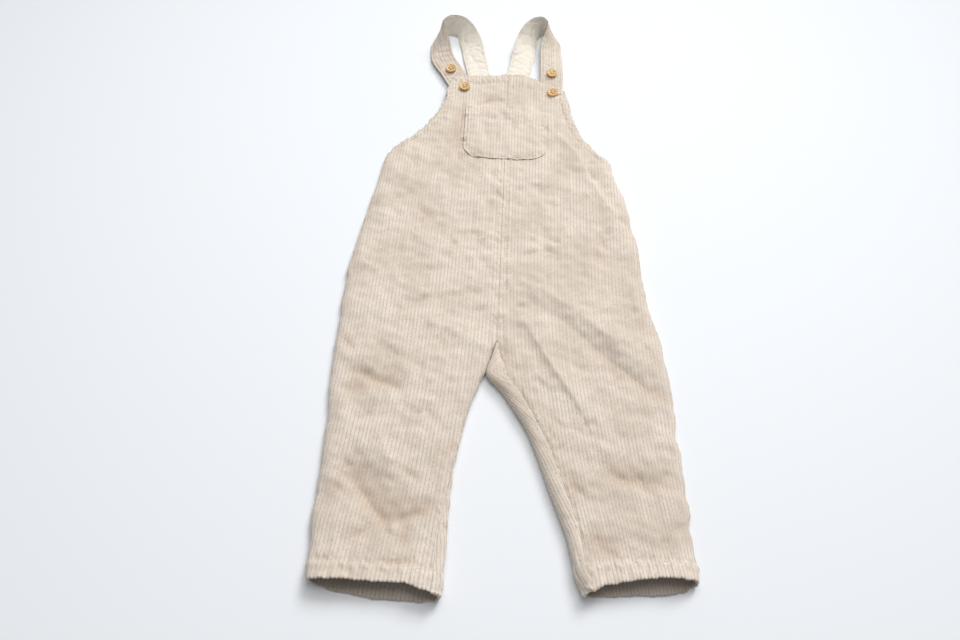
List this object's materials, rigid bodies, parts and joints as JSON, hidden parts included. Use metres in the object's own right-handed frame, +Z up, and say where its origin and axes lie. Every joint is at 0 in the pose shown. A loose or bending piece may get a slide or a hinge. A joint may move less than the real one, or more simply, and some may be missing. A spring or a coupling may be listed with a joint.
{
  "type": "bib overalls",
  "caption": "Baby's wide wale corduroy bib overalls laid flat, with a bib pocket, open hems and looped straps buttoned to the bib.",
  "frame": {"origin": "on the surface the garment lies on, under the middle of its box", "axes": "+Y from the hems to the straps, +X to the viewer's right with the front up, +Z up out of the front"},
  "size_m": [0.307, 0.6466, 0.0251],
  "materials": {
    "corduroy": "beige cotton corduroy, about 8 wales to the inch",
    "lining": "off-white cotton twill",
    "buttons": "varnished pale wood"
  },
  "bodies": {
    "root": {"front_panel_left": "corduroy", "front_panel_right": "corduroy", "back_panel_left": "corduroy", "back_panel_right": "corduroy", "bib_pocket": "corduroy", "strap_left": "corduroy", "strap_right": "corduroy", "strap_lining_left": "lining", "strap_lining_right": "lining", "bib_button_left": "buttons", "bib_button_right": "buttons", "strap_button_left": "buttons", "strap_button_right": "buttons"}
  },
  "joints": []
}
